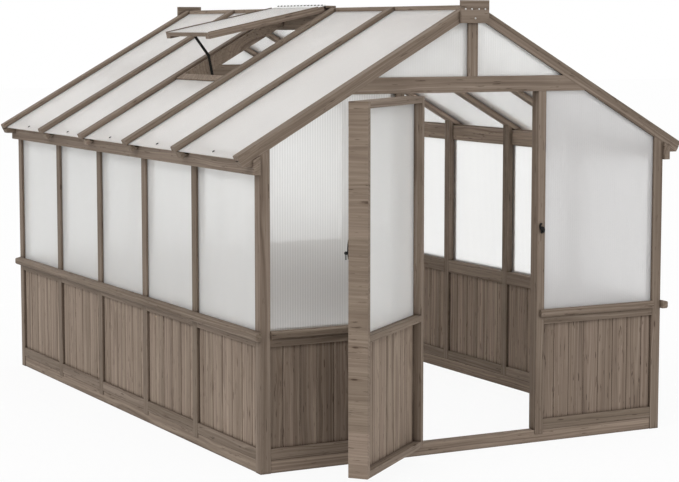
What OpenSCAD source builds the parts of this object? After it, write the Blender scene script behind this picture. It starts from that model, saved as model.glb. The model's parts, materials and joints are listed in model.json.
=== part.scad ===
// Wooden greenhouse: a boarded and glazed timber shed with a gable roof, a hinged door
// in the front and a roof vent on a long hinge, held open by a folding stay.
// X runs across the front, Y from the front to the back and Z up. The origin is on the
// ground, at the middle of the front wall. The left side is at minus X.

/* [Building] */
// Width over the corner posts
width = 2400; // [2300:10:2560]
// From the front wall to the first side post, centre to centre
first_bay = 757; // [700:1:820]
// Spacing of the side posts behind it
bay = 677.5; // [640:0.5:720]
// From the last side post to the back wall
last_bay = 704.5; // [650:0.5:760]
// Height of the underside of the eave board
eave_h = 1465; // [1400:5:1560]
// Pitch of the roof in degrees
pitch = 29.5; // [28:0.5:31]
// How far the underside of a collar beam lies above that of the eave board
collar_up = 377; // [350:1:400]

/* [Timber] */
// Side of the square posts and width of the rafters
post = 56; // [50:1:62]
// Height of the base beams
base_h = 66; // [56:1:80]
// How far the base beams lie behind the faces of the posts
base_back = 3; // [1:0.5:6]
// Height of the lap of a post over the face of the base beam
lap_h = 22; // [14:1:30]
// Height of the lower rails
low_rail = 56; // [48:1:64]
// Height of the boards
board_h = 503; // [450:1:540]
// Height of the upper rails
top_rail = 75; // [60:1:80]
// Height of the collar beams
collar_d = 81; // [70:1:90]
// Height of the ridge beam
ridge_d = 126; // [100:1:150]
// Depth of the rafters
rafter_d = 28; // [24:1:36]
// Thickness of the caps over the rafters
cap_t = 20; // [16:1:26]
// Thickness of the eave boards
eave_t = 36; // [28:1:44]
// Height of an eave board's outer face under the rafters
eave_face = 70; // [56:1:84]
// How far an eave board runs past the end posts
eave_end = 15; // [6:1:24]
// Overhang of the roof, from the eave board's face to the tip
overhang = 80; // [60:1:100]
// How far the tails of the inner rafters stop short of the ends of their caps
tail_back = 36; // [10:1:44]
// Width of the lip on a gable rafter that closes the side of the roof pane
verge_w = 14; // [8:1:22]
// Width of a door post
door_post_w = 48; // [42:1:56]
// Depth of a door post
door_post_d = 60; // [56:1:72]

/* [Boards] */
// Widest spacing that the boards aim at
board_w = 102; // [90:1:120]
// Thickness of a board
board_t = 16; // [12:1:20]
// How far the boards lie behind the post faces
board_in = 28; // [20:1:32]
// Chamfer along the edges of a board
board_v = 3; // [2:0.5:4]
// Thickness of the tongue on a board
tongue_t = 5; // [4:0.5:7]
// Length of the tongue
tongue_l = 6; // [4:0.5:9]
// Open joint between two boards
joint = 0.4; // [0.2:0.1:1]

/* [Panes] */
// Thickness of the wall panes
pane_t = 6; // [4:0.5:8]
// How far the wall panes lie behind the post faces
pane_in = 14; // [10:1:26]
// Thickness of the roof panes
roof_pane_t = 6; // [4:0.5:8]
// Gap between two roof panes on a rafter
pane_gap = 4; // [2:0.5:8]
// How far a roof pane stops short of the tip of the rafters
pane_back = 18; // [10:1:30]
// From the lower edge of a roof pane to its bolts
bolt_edge = 32; // [24:1:36]

/* [Sills] */
// Height of a side sill
sill_h = 45; // [38:1:52]
// How far a side sill stands out
sill_out = 35; // [28:1:42]
// Height of a front or back sill
end_sill_h = 41; // [34:1:48]
// How far a front or back sill stands out
end_sill_out = 20; // [16:1:26]
// How far the side sills run past the front posts
sill_over = 23; // [10:1:30]
// How far a front sill laps the door post
sill_lap = 27; // [10:1:36]

/* [Peak plates] */
// Width of a peak plate
peak_w = 164; // [140:2:190]
// Height of a peak plate
peak_h = 115; // [100:1:130]
// How far a peak plate stands above the ridge
peak_up = 24.5; // [14:0.5:34]
// Thickness of a peak plate
peak_t = 18; // [12:1:24]

/* [Door] */
// Half the clear width of the doorway
door_half = 399; // [360:1:430]
// Depth of the door's stiles and rails
door_d = 97.4; // [80:0.2:104]
// Thickness of the door's stiles and rails
door_t = 33; // [28:1:40]
// How far the door's middle rail starts above the top of the wall's rails
mid_up = 8.8; // [0:0.2:30]
// From the inner face of the door back to its pane and boards
door_in = 44; // [36:1:50]
// Gap between the door and the post on the latch side
latch_gap = 18.5; // [16:0.5:24]
// Gap under the door
foot_gap = 1.8; // [1:0.2:6]
// Gap over the door
head_gap = 11; // [6:0.5:16]
// How far the door stands open, in degrees
door_open = 140; // [0:1:145]
// Radius of the door hinge knuckles
knuckle_r = 5; // [4:0.25:5.25]
// Thickness of the door hinge plates
hinge_t = 2; // [1.5:0.25:2.5]
// Height of a door hinge
hinge_h = 100; // [80:2:120]
// From the end of the door to the nearest hinge
hinge_end = 130; // [90:5:200]
// Height of the handle's spindle
handle_z = 1126; // [1050:2:1200]

/* [Vent] */
// Length of the vent leaf from its hinge axis
vent_len = 742; // [640:2:800]
// From the middle of the ridge to the vent's hinge axis
axis_x = 60; // [56:1:70]
// Width of the cross member under the lower edge of the vent leaf
cross_w = 54; // [44:1:60]
// Width of the vent leaf's rails
vent_rail = 56; // [44:1:60]
// Depth of the vent leaf's side rails
vent_d = 29; // [24:1:34]
// Depth of the vent leaf's bottom rail
vent_low_d = 16; // [12:1:20]
// Width of the lip round the vent pane
vent_lip_w = 8; // [5:0.5:14]
// How far the lips of the vent's side rails stand above its pane
vent_lip_up = 5; // [2:0.5:7]
// Gap between the leaf and the roof caps beside it
vent_side_gap = 7.5; // [4:0.5:10]
// How far the vent stands open, in degrees
vent_open = 17.7; // [0:0.1:20]
// Depth of the curb round the vent opening
curb_d = 75; // [64:1:90]
// Thickness of the curb's cheeks
cheek_t = 20; // [16:1:26]
// Thickness of the cleat that carries the vent hinge
cleat_t = 11.5; // [10:0.5:16]
// Radius of the vent hinge knuckles
vent_knuckle_r = 4; // [3.5:0.1:4.4]
// Thickness of the vent hinge plates
vent_hinge_t = 1.5; // [1:0.1:1.8]
// Aimed length of one knuckle of the vent hinge
knuckle_l = 22; // [20:1:60]

/* [Stay] */
// From the leaf's front rail to the stay
stay_in = 190; // [120:5:240]
// Width of the stay's links
link_w = 16; // [8:0.5:18]
// Thickness of the stay's links
link_t = 3; // [1.6:0.1:4]
// Bend left at the elbow when the stay is fully open, in degrees at each link
stay_bend = 13; // [8:1:20]
// Height of the stay's foot under the top of the curb
foot_down = 21.7; // [18:0.1:26]

/* [Fits] */
// Clearance between pieces that move past each other
gap = 0.3; // [0.3:0.05:0.5]
// Radial clearance of a pin in its bore
run = 0.05; // [0.03:0.01:0.09]
// Clearance between pieces seated on each other along a slope
seat = 0.02; // [0.01:0.01:0.1]

/* [Hidden] */
$fn = 48;

hw = width / 2;
hp = post / 2;
in_x = hw - post;
back_y = first_bay + 3 * bay + last_bay;
rows = [0, first_bay, first_bay + bay, first_bay + 2 * bay, first_bay + 3 * bay, back_y];
last = len(rows) - 1;
vent_row = 2;

// Levels of the walls
rail_z = base_h + low_rail;
sill_z = rail_z + board_h;
pane_z = sill_z + top_rail;
lap_z = base_h - lap_h;
collar_z = eave_h + collar_up;
collar_top = collar_z + collar_d;
door_out = door_half + door_post_w;

// Levels of the roof: depths below the tops of the caps, square to the slope
rc = cos(pitch);
rs = sin(pitch);
rt = tan(pitch);
d_raft = cap_t + roof_pane_t;
d_under = d_raft + rafter_d;
eave_x = hw + eave_t;
roof_c = eave_h + eave_face + eave_x * rt + d_under / rc;
roof_len = (eave_x + overhang) / rc;
pane_len = roof_len - pane_back;
bolt_u = pane_len - bolt_edge;
bolt_at = [0.12, 0.48, 0.88];
bolt_r = 2;
ridge_top = roof_c - rt * hp;

// Height of the roof layer at depth d, over the distance x from the middle
function roof_z(x, d) = roof_c - d / rc - rt * x;
// Point at the distance u down the slope and at depth d
function roof_p(u, d) = [u * rc - d * rs, roof_c - u * rs - d * rc];
// Distance from the middle at which a piece of the height z meets a rafter's underside
function under_x(z) = (roof_z(0, d_under + seat) - z) / rt;

// Vent: hinge axis, and depths below it, square to the slope, with the leaf closed
vent_y0 = rows[vent_row] + hp;
vent_y1 = rows[vent_row + 1] - hp;
leaf_y0 = vent_y0 + vent_side_gap;
leaf_y1 = vent_y1 - vent_side_gap;
axis_z = ridge_top + cleat_t + vent_hinge_t + 1;
cleat_x = axis_x - vent_knuckle_r - 2;
cleat_in = 10;
leaf_d = 2 * vent_hinge_t;
rail_d = leaf_d + pane_t;
curb_top = rail_d + vent_d + gap;
curb_low = curb_top + curb_d;
leaf_u = 10;
vent_plate = 40;
upstand = vent_plate - leaf_u + vent_knuckle_r + 2;
cross_u = vent_len - 14;
n_knuckle = 2 * round((leaf_y1 - leaf_y0) / knuckle_l / 2);
vent_pin_r = 2;

// Point at the distance u down the closed leaf and d below it, on the plus X side
function vent_p(u, d) = [axis_x + u * rc - d * rs, axis_z - u * rs - d * rc];
// The same on the real, minus X side, and turned by an angle about the hinge
function vent_l(u, d) = [-vent_p(u, d)[0], vent_p(u, d)[1]];
function turned(p, a) = let (x = p[0] + axis_x, z = p[1] - axis_z)
    [-axis_x + x * cos(a) + z * sin(a), axis_z - x * sin(a) + z * cos(a)];

// Stay: leaf pivot, foot pivot and elbow with the vent as it stands
stay_y = leaf_y0 + vent_rail + stay_in;
pin_r = 2;
link_r = link_w / 2;
head_r = 3.6;
leaf_pivot = [cross_u - link_r - 3, rail_d + vent_low_d + link_r + 4];
foot_pivot = [cross_u - link_r - 4, curb_top + foot_down];
stay_p = turned(vent_l(leaf_pivot[0], leaf_pivot[1]), vent_open);
stay_f = vent_l(foot_pivot[0], foot_pivot[1]);
stay_span = norm(stay_p - stay_f);
link_l = stay_span / 2 / cos(stay_bend);
stay_e = (stay_p + stay_f) / 2
    + [stay_p[1] - stay_f[1], stay_f[0] - stay_p[0]] / stay_span * link_l * sin(stay_bend);

// Door: hinge axis, then places along the closed leaf from it
door_axis = [1 - door_half, -hp - knuckle_r - 0.5];
door_s0 = 2.5;
door_s1 = 2 * door_half - 1 - latch_gap;
door_t0 = knuckle_r + 0.5;
door_t1 = door_t0 + door_d;
door_z0 = base_h + foot_gap;
door_z1 = collar_z - head_gap;
door_mid = pane_z + mid_up;
door_panel = door_t1 - door_in;
hinge_pin_r = knuckle_r / 2;
hinge_w = 31;
hinge_at = [door_z0 + hinge_end, (door_z0 + door_z1 - hinge_h) / 2,
    door_z1 - hinge_end - hinge_h];
hinge_n = 5;
stile_mid = door_s1 - door_t / 2;

wood = [0.55, 0.49, 0.43];
wood_dark = [0.48, 0.42, 0.36];
board_col = [0.45, 0.39, 0.33];
sheet_col = [0.86, 0.87, 0.86];
black = [0.1, 0.1, 0.1];
steel = [0.74, 0.72, 0.69];

// Placing

// A profile in X and Z, drawn out along Y
module along_y(y0, y1) {
    translate([0, y1, 0])
        rotate([90, 0, 0])
            linear_extrude(y1 - y0)
                children();
}

// A profile in Y and Z, drawn out along X
module along_x(x0, x1) {
    translate([x0, 0, 0])
        rotate([90, 0, 90])
            linear_extrude(x1 - x0)
                children();
}

module left() {
    mirror([1, 0, 0])
        children();
}

module both_sides() {
    children();
    left()
        children();
}

module at_back() {
    translate([0, back_y, 0])
        mirror([0, 1, 0])
            children();
}

module both_ends() {
    children();
    at_back()
        children();
}

// Children stand on the top of a roof pane, with their own Z square to the slope
module on_pane(u, y) {
    p = roof_p(u, cap_t);
    translate([p[0], y, p[1]])
        rotate([0, pitch, 0])
            children();
}

// Children drawn with the vent closed, on the plus X side
module open_vent() {
    translate([-axis_x, 0, axis_z])
        rotate([0, vent_open, 0])
            translate([axis_x, 0, -axis_z])
                left()
                    children();
}

// Children drawn with X along the closed door, from its hinge axis
module open_door() {
    translate([door_axis[0], door_axis[1], 0])
        rotate([0, 0, -door_open])
            children();
}

// Profiles

// Moulding with a sloped top, a round nose and a chamfer below, from a wall at X = 0
module sill_profile(h, out, r) {
    dx = out - r;
    dy = h / 3;
    a = atan(dy / dx) - asin(r / norm([dx, dy]));
    polygon([[0, 0], [out - 7, 0], [out, 7], [out, h - dy], [dx, h - dy],
        [dx + r * sin(a), h - dy + r * cos(a)], [0, h]]);
    translate([dx, h - dy])
        circle(r);
}

// One tongued and grooved board seen from its end, with its outer face at Y = 0
module board_profile(w, end) {
    g0 = (board_t - tongue_t) / 2;
    g1 = g0 + tongue_t;
    gl = tongue_l - joint + gap;
    tongue = end ? [] : [[w, g0], [w + tongue_l, g0], [w + tongue_l, g1], [w, g1]];
    polygon(concat([[board_v, 0], [w - board_v, 0], [w, board_v]], tongue,
        [[w, board_t - board_v], [w - board_v, board_t], [board_v, board_t],
        [0, board_t - board_v], [0, g1 + gap], [gl, g1 + gap], [gl, g0 - gap],
        [0, g0 - gap], [0, board_v]]));
}

// Row of boards with an open joint between each two
module board_row(len, h) {
    n = round(len / board_w);
    w = (len + joint) / n - joint;
    for (i = [0:n - 1])
        translate([i * (w + joint), 0, 0])
            linear_extrude(h)
                board_profile(w, i == n - 1);
}

// Rafter with a foot that hooks over the eave board, up to the distance u from the ridge
module rafter_profile(u) {
    tip = roof_p(u, d_under);
    polygon([[hp, roof_z(hp, d_under)], [eave_x, roof_z(eave_x, d_under)],
        [eave_x, tip[1]], tip, roof_p(u, d_raft), [hp, roof_z(hp, d_raft)]]);
}

// Layer of the roof between two depths, from the ridge beam to the distance u
module layer_profile(d0, d1, u) {
    polygon([[hp, roof_z(hp, d1)], roof_p(u, d1), roof_p(u, d0), [hp, roof_z(hp, d0)]]);
}

// Strip of the vent between two places and two depths
module vent_strip(u0, u1, d0, d1) {
    polygon([vent_p(u0, d0), vent_p(u1, d0), vent_p(u1, d1), vent_p(u0, d1)]);
}

// Base

// Outer half of a post, that laps over the face of the base beam
module lap(w, d) {
    translate([-w / 2, -d, lap_z])
        cube([w, d, lap_h]);
}

module door_post_places(z) {
    for (s = [-1, 1])
        translate([s * (door_half + door_post_w / 2), 0, z])
            children();
}

module base_beams_end() {
    color(wood_dark)
        both_ends()
            difference() {
                translate([-in_x, base_back - hp, 0])
                    cube([2 * in_x, post - base_back, base_h]);
                door_post_places(0)
                    lap(door_post_w, hp);
            }
}

module base_beams_side() {
    color(wood_dark)
        both_sides()
            difference() {
                translate([in_x, hp, 0])
                    cube([post - base_back, back_y - post, base_h]);
                for (i = [1:last - 1])
                    translate([in_x + hp, rows[i] - hp, lap_z])
                        cube([hp, post, lap_h]);
            }
}

// Posts

// The outer half of a corner post runs past the rafter, which is halved round it
module corner_posts() {
    color(wood)
        both_sides()
            both_ends() {
                along_y(-hp, verge_w - hp)
                    polygon([[in_x, 0], [hw, 0], [hw, roof_z(hw, cap_t + seat)],
                        [in_x, roof_z(in_x, cap_t + seat)]]);
                along_y(-hp, 0)
                    polygon([[in_x, 0], [hw, 0], [hw, roof_z(hw, d_raft)],
                        [in_x, roof_z(in_x, d_raft)]]);
                along_y(0, hp)
                    polygon([[in_x, 0], [hw, 0], [hw, roof_z(hw, d_under + seat)],
                        [in_x, roof_z(in_x, d_under + seat)]]);
            }
}

// A side post is lapped over the base beam and, up to the rafter, over the top plate
module side_posts() {
    for (i = [1:last - 1])
        along_y(rows[i] - hp, rows[i] + hp)
            polygon([[in_x, base_h], [hw - hp, base_h], [hw - hp, lap_z], [hw, lap_z],
                [hw, eave_h], [hw - hp, eave_h], [hw - hp, roof_z(hw - hp, d_under + seat)],
                [in_x, roof_z(in_x, d_under + seat)]]);
}

module side_posts_left() {
    color(wood)
        left()
            side_posts();
}

module side_posts_right() {
    color(wood)
        side_posts();
}

module wall_posts(d) {
    door_post_places(0) {
        translate([-door_post_w / 2, -hp, base_h])
            cube([door_post_w, d, collar_z - base_h]);
        lap(door_post_w, hp);
    }
}

module door_posts() {
    color(wood)
        wall_posts(door_post_d);
}

module back_posts() {
    color(wood)
        at_back()
            wall_posts(post);
}

// Beams

// The top plates lie on the outer halves of the side posts
module top_plates() {
    color(wood_dark)
        both_sides()
            translate([hw - hp, hp, eave_h])
                cube([hp, back_y - post, roof_z(hw, d_under + seat) - eave_h]);
}

// The eave boards carry the panes and are notched for the rafters
module eave_boards() {
    color(wood)
        both_sides()
            difference() {
                along_y(-hp - eave_end, back_y + hp + eave_end)
                    polygon([[hw, eave_h], [eave_x, eave_h], [eave_x, roof_z(eave_x, d_raft)],
                        [hw, roof_z(hw, d_raft)]]);
                for (i = [0:last])
                    along_y(i == 0 ? -post : rows[i] - hp,
                            i == last ? back_y + post : rows[i] + hp)
                        polygon([[hw - 1, roof_z(hw - 1, d_under + seat)],
                            [eave_x + 1, roof_z(eave_x + 1, d_under + seat)],
                            [eave_x + 1, roof_z(eave_x, 0)], [hw - 1, roof_z(hw, 0)]]);
            }
}

module collar_beams() {
    color(wood)
        both_ends()
            along_y(-hp, hp)
                polygon([[-under_x(collar_z), collar_z], [under_x(collar_z), collar_z],
                    [under_x(collar_top), collar_top], [-under_x(collar_top), collar_top]]);
}

module king_posts() {
    color(wood)
        both_ends()
            translate([-hp, -hp, collar_top])
                cube([post, post, ridge_top - collar_top]);
}

module ridge_beam() {
    color(wood_dark)
        translate([-hp, hp, ridge_top - ridge_d])
            cube([post, back_y - post, ridge_d]);
}

// The lip along the outer face closes the side of the roof pane
module gable_rafters() {
    color(wood)
        both_sides()
            both_ends()
                difference() {
                    union() {
                        along_y(-hp, hp)
                            rafter_profile(roof_len);
                        along_y(-hp, verge_w - hp)
                            layer_profile(cap_t + seat, d_raft + 1, roof_len);
                    }
                    translate([in_x, -post, eave_h])
                        cube([post, post, 4 * post]);
                }
}

module rafters() {
    for (i = [1:last - 1])
        along_y(rows[i] - hp, rows[i] + hp)
            rafter_profile(roof_len - tail_back);
}

module rafters_left() {
    color(wood_dark)
        left()
            rafters();
}

module rafters_right() {
    color(wood_dark)
        rafters();
}

module roof_caps() {
    for (y = rows)
        along_y(y - hp, y + hp)
            layer_profile(0, cap_t, roof_len);
}

module roof_caps_left() {
    color(wood)
        left()
            roof_caps();
}

module roof_caps_right() {
    color(wood)
        roof_caps();
}

// Rails and sills

module side_rails(z, h) {
    color(wood)
        both_sides()
            for (i = [0:last - 1])
                translate([in_x, rows[i] + hp, z])
                    cube([post, rows[i + 1] - rows[i] - post, h]);
}

module end_rails(z, h) {
    color(wood)
        both_ends()
            both_sides()
                translate([door_out, -hp, z])
                    cube([in_x - door_out, post, h]);
    color(wood)
        at_back()
            translate([-door_half, -hp, z])
                cube([2 * door_half, post, h]);
}

module lower_rails_side() {
    side_rails(base_h, low_rail);
}

module lower_rails_end() {
    end_rails(base_h, low_rail);
}

module upper_rails_side() {
    side_rails(sill_z, top_rail);
}

module upper_rails_end() {
    end_rails(sill_z, top_rail);
}

module sills_side() {
    color(wood)
        both_sides()
            translate([hw, 0, pane_z + 5 - sill_h])
                along_y(-hp - sill_over, back_y + hp)
                    sill_profile(sill_h, sill_out, 8);
}

// A sill on the front face, between two distances from the middle
module end_sill(x0, x1) {
    translate([0, -hp, pane_z + 5 - end_sill_h])
        along_x(x0, x1)
            mirror([1, 0])
                sill_profile(end_sill_h, end_sill_out, 6);
}

module sills_front() {
    color(wood)
        both_sides()
            end_sill(door_out - sill_lap, in_x);
}

module sill_back() {
    color(wood)
        at_back()
            end_sill(-in_x, in_x);
}

// Boards

module side_boards() {
    for (i = [0:last - 1])
        translate([hw - board_in, rows[i] + hp, rail_z])
            rotate([0, 0, 90])
                board_row(rows[i + 1] - rows[i] - post, board_h);
}

module boards_left() {
    color(board_col)
        left()
            side_boards();
}

module boards_right() {
    color(board_col)
        side_boards();
}

module end_boards() {
    both_sides()
        translate([door_out, board_in - hp, rail_z])
            board_row(in_x - door_out, board_h);
}

module boards_front() {
    color(board_col)
        end_boards();
}

module boards_back() {
    color(board_col)
        at_back() {
            end_boards();
            translate([-door_half, board_in - hp, rail_z])
                board_row(2 * door_half, board_h);
        }
}

// Panes

module side_panes() {
    for (i = [0:last - 1])
        translate([hw - pane_in - pane_t, rows[i] + hp, pane_z])
            cube([pane_t, rows[i + 1] - rows[i] - post, eave_h - pane_z]);
}

module panes_left() {
    color(sheet_col)
        left()
            side_panes();
}

module panes_right() {
    color(sheet_col)
        side_panes();
}

// The top of an end pane follows the rafter and then the collar beam
module end_panes() {
    both_sides()
        along_y(pane_in - hp, pane_in + pane_t - hp)
            polygon([[door_out, pane_z], [in_x, pane_z], [in_x, roof_z(in_x, d_under + seat)],
                [under_x(collar_z), collar_z], [door_out, collar_z]]);
}

module panes_front() {
    color(sheet_col)
        end_panes();
}

module panes_back() {
    color(sheet_col)
        at_back() {
            end_panes();
            translate([-door_half, pane_in - hp, pane_z])
                cube([2 * door_half, pane_t, collar_z - pane_z]);
        }
}

module gable_panes() {
    color(sheet_col)
        both_ends()
            both_sides()
                along_y(pane_in - hp, pane_in + pane_t - hp)
                    polygon([[hp, collar_top], [under_x(collar_top), collar_top],
                        [hp, roof_z(hp, d_under + seat)]]);
}

// One roof pane, from the middle of one rafter to the middle of the next
module roof_pane(i) {
    y0 = i == 0 ? verge_w - hp + gap : rows[i] + pane_gap / 2;
    y1 = i == last - 1 ? back_y + hp - verge_w - gap : rows[i + 1] - pane_gap / 2;
    difference() {
        along_y(y0, y1)
            layer_profile(cap_t + seat, d_raft - seat, pane_len);
        for (f = bolt_at)
            on_pane(bolt_u, rows[i] + f * (rows[i + 1] - rows[i]))
                translate([0, 0, -2 * roof_pane_t])
                    cylinder(r = bolt_r + 0.1, h = 3 * roof_pane_t);
    }
}

// On the left the pane under the vent starts at the cross member of its curb
module roof_panes_left() {
    color(sheet_col)
        left()
            for (i = [0:last - 1])
                difference() {
                    roof_pane(i);
                    if (i == vent_row)
                        along_y(rows[i] - post, rows[i + 1] + post)
                            vent_strip(-2 * post, cross_u + cross_w + seat, -post, 3 * post);
                }
}

module roof_panes_right() {
    color(sheet_col)
        for (i = [0:last - 1])
            roof_pane(i);
}

// Peak plates and fasteners

peak_z = ridge_top + peak_up - peak_h;
peak_screw_at = [[-58, 70], [-21, 70], [21, 70], [58, 70], [0, 24]];
peak_screw_r = 2;

module peak_screw_places() {
    for (p = peak_screw_at)
        translate([p[0], -hp - peak_t, peak_z + p[1]])
            rotate([90, 0, 0])
                children();
}

module peak_plates() {
    color(wood)
        both_ends()
            difference() {
                translate([-peak_w / 2, -hp - peak_t, peak_z])
                    cube([peak_w, peak_t, peak_h]);
                peak_screw_places()
                    translate([0, 0, -peak_t - 1])
                        cylinder(r = peak_screw_r + 0.1, h = peak_t + 2, $fn = 24);
            }
}

// Round-headed screws
module peak_screws() {
    color(steel)
        both_ends()
            peak_screw_places()
                rotate_extrude($fn = 24)
                    polygon([[0, -peak_t], [peak_screw_r, -peak_t], [peak_screw_r, 0],
                        [5, 0], [4.6, 1.6], [3.2, 2.7], [0, 3.2]]);
}

// Bolts through the lower edges of the roof panes, with a washer and a nut
module pane_bolts() {
    color(black)
        both_sides()
            for (i = [0:last - 1], f = bolt_at)
                on_pane(bolt_u, rows[i] + f * (rows[i + 1] - rows[i])) {
                    rotate_extrude($fn = 24)
                        polygon([[0, -roof_pane_t], [bolt_r, -roof_pane_t], [bolt_r, 0],
                            [8, 0], [8, 1.2], [4.5, 1.2], [3.8, 3.4], [0, 4.2]]);
                    translate([0, 0, -roof_pane_t - 3])
                        cylinder(r = 4.5, h = 3, $fn = 6);
                }
}

// Vent

// Cross member between the rafters, two cheeks from it up to the ridge beam, and the
// cleat on the ridge that carries the hinge
module vent_curb() {
    color(wood_dark)
        left() {
            translate([-cleat_in, leaf_y0, ridge_top])
                cube([cleat_in + cleat_x, leaf_y1 - leaf_y0, cleat_t]);
            along_y(vent_y0, vent_y1)
                vent_strip(cross_u, cross_u + cross_w, curb_top, curb_low);
            for (y = [vent_y0, vent_y1 - cheek_t])
                along_y(y, y + cheek_t)
                    polygon([vent_at_x(hp, curb_top), vent_p(cross_u, curb_top),
                        vent_p(cross_u, curb_low), vent_at_x(hp, curb_low)]);
        }
}

// Point of the vent's layer at depth d, at the distance x from the middle
function vent_at_x(x, d) = vent_p((x - axis_x + d * rs) / rc, d);

// Every second knuckle of the long hinge, with its plate
module vent_knuckles(first) {
    l = (leaf_y1 - leaf_y0) / n_knuckle;
    for (i = [first:2:n_knuckle - 1])
        translate([0, leaf_y0 + i * l + gap / 2, 0])
            along_y(0, l - gap)
                children();
}

module vent_bore() {
    translate([axis_x, 0, axis_z])
        along_y(leaf_y0 - 1, leaf_y1 + 1)
            circle(vent_pin_r + run);
}

module vent_hinge_fixed() {
    z = ridge_top + cleat_t;
    color(black)
        left()
            difference() {
                union() {
                    translate([cleat_x - vent_plate, leaf_y0, z])
                        cube([vent_plate + 1, leaf_y1 - leaf_y0, vent_hinge_t]);
                    vent_knuckles(0) {
                        translate([axis_x, axis_z])
                            circle(vent_knuckle_r);
                        translate([cleat_x, z])
                            square([axis_x - cleat_x, vent_hinge_t]);
                    }
                }
                vent_bore();
            }
}

module vent_hinge_leaf() {
    u0 = vent_knuckle_r + 1;
    color(black)
        open_vent()
            difference() {
                union() {
                    along_y(leaf_y0, leaf_y1)
                        vent_strip(u0, u0 + vent_plate, vent_hinge_t, leaf_d - seat);
                    vent_knuckles(1) {
                        translate([axis_x, axis_z])
                            circle(vent_knuckle_r);
                        vent_strip(0, u0, vent_hinge_t, leaf_d - seat);
                    }
                }
                vent_bore();
            }
}

module vent_hinge_pin() {
    color(steel)
        left()
            translate([axis_x, 0, axis_z])
                along_y(leaf_y0 + 0.5, leaf_y1 - 0.5)
                    circle(vent_pin_r);
}

// Each side rail has a lip along its outer edge, with the pane inside it
module vent_side_rails() {
    color(wood)
        open_vent()
            for (y = [leaf_y0, leaf_y1 - vent_rail]) {
                along_y(y, y + vent_rail)
                    vent_strip(leaf_u, vent_len, rail_d, rail_d + vent_d);
                lip_y = y == leaf_y0 ? y : leaf_y1 - vent_lip_w;
                along_y(lip_y, lip_y + vent_lip_w)
                    vent_strip(leaf_u + upstand + seat, vent_len, leaf_d - vent_lip_up,
                        rail_d + 1);
            }
}

// The upper rail has an upstand under the hinge's plate, the lower rail a lip
module vent_end_rails() {
    color(wood)
        open_vent() {
            along_y(leaf_y0 + vent_rail, leaf_y1 - vent_rail) {
                vent_strip(leaf_u, leaf_u + vent_rail, rail_d, rail_d + vent_d);
                vent_strip(leaf_u, leaf_u + upstand, leaf_d, rail_d + 1);
                vent_strip(vent_len - vent_rail, vent_len, rail_d, rail_d + vent_low_d);
                vent_strip(vent_len - vent_lip_w, vent_len, leaf_d, rail_d + 1);
            }
            along_y(leaf_y0, leaf_y1)
                vent_strip(leaf_u, leaf_u + upstand, leaf_d, rail_d - seat);
            along_y(leaf_y0 + vent_lip_w, leaf_y1 - vent_lip_w)
                vent_strip(vent_len - vent_lip_w, vent_len, leaf_d, rail_d - seat);
        }
}

module vent_pane() {
    color(sheet_col)
        open_vent()
            along_y(leaf_y0 + vent_lip_w + gap, leaf_y1 - vent_lip_w - gap)
                vent_strip(leaf_u + upstand + seat, vent_len - vent_lip_w - seat, leaf_d,
                    rail_d - seat);
}

// Stay

// The links lie side by side, each with its own plate and pivot pin on the outside
link_y = gap / 2;
tab_y = link_y + link_t + gap;

// Part of the stay between two distances from the middle plane of the stay
module stay_slice(y0, y1) {
    translate([0, stay_y, 0])
        along_y(min(y0, y1), max(y0, y1))
            children();
}

module stay_pivot(p, side) {
    stay_slice(side * tab_y, -side * link_y)
        translate(p)
            circle(pin_r);
    stay_slice(-side * link_y, -side * (link_y + 1.2))
        translate(p)
            circle(head_r);
}

module stay_foot() {
    p = vent_p(foot_pivot[0], foot_pivot[1]);
    color(black)
        left() {
            stay_slice(-12, 12)
                vent_strip(cross_u - 2, cross_u - seat, foot_pivot[1] - 11, foot_pivot[1] + 11);
            stay_slice(-tab_y, -tab_y - 2) {
                vent_strip(foot_pivot[0], cross_u - 2, foot_pivot[1] - link_r,
                    foot_pivot[1] + link_r);
                translate(p)
                    circle(link_r);
            }
            stay_pivot(p, -1);
        }
}

module stay_bracket() {
    p = vent_p(leaf_pivot[0], leaf_pivot[1]);
    u = leaf_pivot[0];
    d = rail_d + vent_low_d + seat;
    color(black)
        open_vent() {
            stay_slice(-12, 12)
                vent_strip(u - 13, u + 13, d, d + 2);
            stay_slice(tab_y, tab_y + 2) {
                vent_strip(u - link_r, u + link_r, d + 2, leaf_pivot[1]);
                translate(p)
                    circle(link_r);
            }
            stay_pivot(p, 1);
        }
}

// Flat link from its pivot at p to the elbow, with a rivet head on its outer side
module stay_link(p, side) {
    v = stay_e - p;
    translate([p[0], stay_y, p[1]])
        rotate([90, -atan2(v[1], v[0]), 0])
            mirror([0, 0, side > 0 ? 1 : 0])
                translate([0, 0, link_y]) {
                    linear_extrude(link_t)
                        difference() {
                            union() {
                                translate([0, -link_r])
                                    square([link_l, link_w]);
                                circle(link_r);
                                translate([link_l, 0])
                                    circle(link_r);
                            }
                            circle(pin_r + run);
                        }
                    translate([link_l, 0, link_t])
                        cylinder(r = head_r, h = 1.2);
                }
}

module stay_lower_link() {
    color(black)
        stay_link(stay_f, -1);
}

module stay_upper_link() {
    color(black)
        stay_link(stay_p, 1);
}

// Door

// A block of the closed door between two places along it, two depths and two heights
module door_block(s0, s1, t0, t1, z0, z1) {
    translate([s0, t0, z0])
        cube([s1 - s0, t1 - t0, z1 - z0]);
}

module door_stiles() {
    color(wood)
        open_door() {
            door_block(door_s0, door_s0 + door_t, door_t0, door_t1, door_z0, door_z1);
            door_block(door_s1 - door_t, door_s1, door_t0, door_t1, door_z0, door_z1);
        }
}

module door_rails() {
    color(wood)
        open_door()
            for (z = [door_z0, door_mid, door_z1 - door_t])
                door_block(door_s0 + door_t, door_s1 - door_t, door_t0, door_t1, z, z + door_t);
}

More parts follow.
